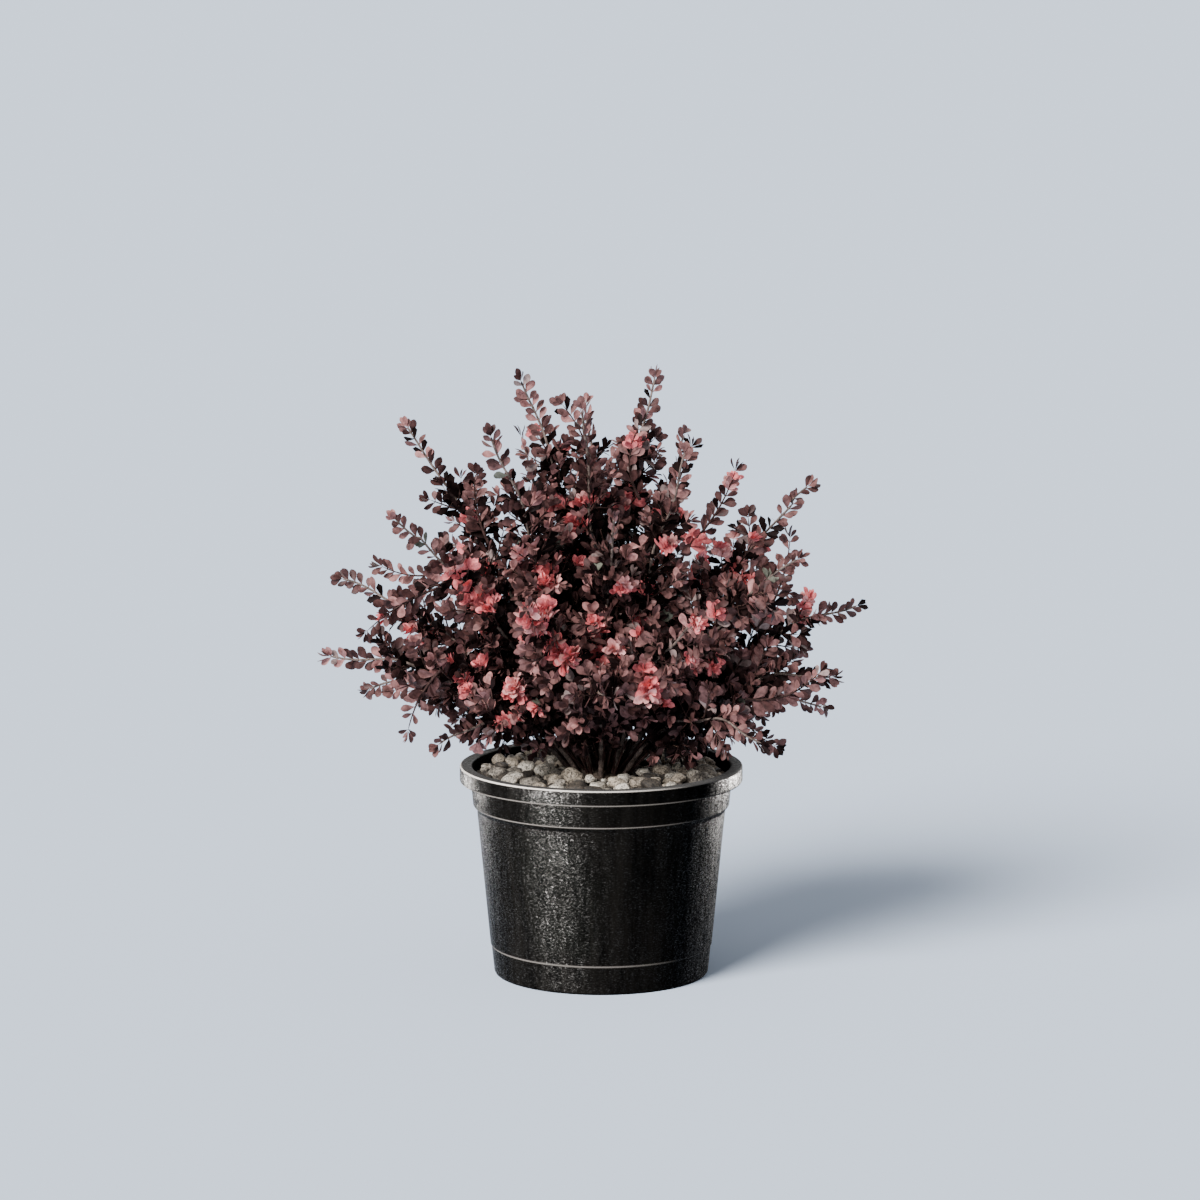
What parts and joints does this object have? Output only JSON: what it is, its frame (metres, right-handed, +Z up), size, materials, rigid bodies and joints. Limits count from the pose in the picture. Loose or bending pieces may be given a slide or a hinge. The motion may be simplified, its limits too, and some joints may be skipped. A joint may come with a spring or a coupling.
{
  "type": "potted japanese barberry",
  "caption": "Bushy purple-leaved Japanese barberry with arching shoots, standing in a round black nursery pot with a gravel mulch.",
  "frame": {"origin": "middle of the flat pad under the pot, on the surface that the pot stands on", "axes": "+Z up the pot's axis, +X to the right and -Y to the front as pictured"},
  "size_m": [0.5757, 0.4876, 0.6446],
  "materials": {
    "pot_plastic": "satin black, finely grained",
    "compost": "dark, crumbly",
    "river_gravel": "water-worn, matt",
    "old_bark": "rough bark",
    "cane_bark": "ridged red-brown bark",
    "barberry_leaf": "satin leaf"
  },
  "bodies": {
    "root": {"pot": "pot_plastic", "compost": "compost", "gravel_mulch": "river_gravel", "stool": "old_bark", "leader_cane_1": "cane_bark", "leader_cane_2": "cane_bark", "leader_cane_3": "cane_bark", "leader_cane_4": "cane_bark", "upper_cane_1": "cane_bark", "upper_cane_2": "cane_bark", "upper_cane_3": "cane_bark", "upper_cane_4": "cane_bark", "upper_cane_5": "cane_bark", "upper_cane_6": "cane_bark", "upper_cane_7": "cane_bark", "middle_cane_1": "cane_bark", "middle_cane_2": "cane_bark", "middle_cane_3": "cane_bark", "middle_cane_4": "cane_bark", "middle_cane_5": "cane_bark", "middle_cane_6": "cane_bark", "middle_cane_7": "cane_bark", "middle_cane_8": "cane_bark", "lower_cane_1": "cane_bark", "lower_cane_2": "cane_bark", "lower_cane_3": "cane_bark", "lower_cane_4": "cane_bark", "lower_cane_5": "cane_bark", "lower_cane_6": "cane_bark", "lower_cane_7": "cane_bark", "lower_cane_8": "cane_bark", "lower_cane_9": "cane_bark", "leader_foliage_1": "barberry_leaf", "leader_foliage_2": "barberry_leaf", "leader_foliage_3": "barberry_leaf", "leader_foliage_4": "barberry_leaf", "upper_foliage_1": "barberry_leaf", "upper_foliage_2": "barberry_leaf", "upper_foliage_3": "barberry_leaf", "upper_foliage_4": "barberry_leaf", "upper_foliage_5": "barberry_leaf", "upper_foliage_6": "barberry_leaf", "upper_foliage_7": "barberry_leaf", "middle_foliage_1": "barberry_leaf", "middle_foliage_2": "barberry_leaf", "middle_foliage_3": "barberry_leaf", "middle_foliage_4": "barberry_leaf", "middle_foliage_5": "barberry_leaf", "middle_foliage_6": "barberry_leaf", "middle_foliage_7": "barberry_leaf", "middle_foliage_8": "barberry_leaf", "lower_foliage_1": "barberry_leaf", "lower_foliage_2": "barberry_leaf", "lower_foliage_3": "barberry_leaf", "lower_foliage_4": "barberry_leaf", "lower_foliage_5": "barberry_leaf", "lower_foliage_6": "barberry_leaf", "lower_foliage_7": "barberry_leaf", "lower_foliage_8": "barberry_leaf", "lower_foliage_9": "barberry_leaf"}
  },
  "joints": []
}
